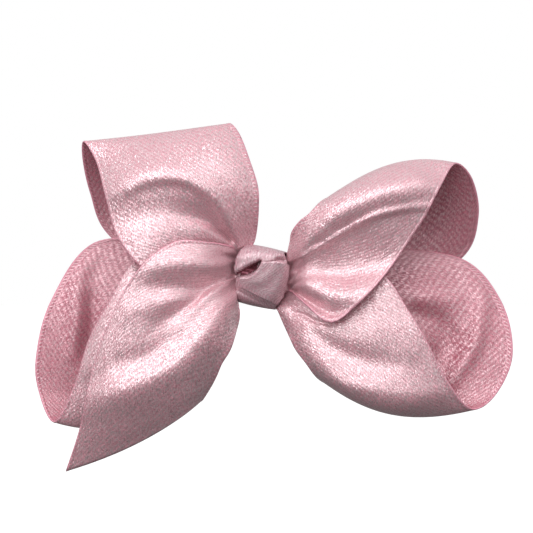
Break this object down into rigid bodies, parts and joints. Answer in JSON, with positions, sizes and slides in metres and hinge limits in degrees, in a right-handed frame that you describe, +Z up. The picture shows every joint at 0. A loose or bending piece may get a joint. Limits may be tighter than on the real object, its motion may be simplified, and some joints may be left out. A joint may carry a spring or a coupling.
{
  "type": "hair bow",
  "caption": "Twisted satin ribbon hair bow with cone-shaped loops, a slanted tail, a hand-tied centre knot and a sprung alligator clip behind it",
  "frame": {"origin": "middle of the clip's gripping line, between its two flat jaws, straight behind the knot", "axes": "+X to the right seen from the front, +Z up, the bow faces -Y and the hair lies behind it"},
  "size_m": [0.118, 0.0373, 0.0855],
  "materials": {
    "ribbon": "shimmer satin",
    "knot_ribbon": "shimmer satin",
    "lining": "satin",
    "thread": "spun polyester",
    "hot_glue": "cloudy",
    "clip_steel": "nickel plated",
    "pin_steel": "nickel plated",
    "spring_steel": "bright drawn wire"
  },
  "bodies": {
    "bow": {"loop_upper_left": "ribbon", "loop_lower_left": "ribbon", "loop_upper_right": "ribbon", "loop_lower_right": "ribbon", "tail_front": "ribbon", "tail_back": "ribbon", "gathered_centre": "ribbon", "binding_thread": "thread", "knot_band": "knot_ribbon", "knot_fold": "knot_ribbon", "glue_pad": "hot_glue", "clip_lining": "lining", "clip_top_lever": "clip_steel", "clip_pin": "pin_steel", "clip_spring": "spring_steel"},
    "jaw": {"clip_lower_jaw": "clip_steel"}
  },
  "joints": [
    {"name": "jaw_hinge", "type": "hinge", "parent": "bow", "child": "jaw", "pos_m": [0.0085, 0.002, 0], "axis": [0, 0, -1], "range_deg": [0, 35], "stiffness_Nm_per_rad": 0.1, "springref_deg": -45.84, "deforming": ["clip_spring"]}
  ]
}
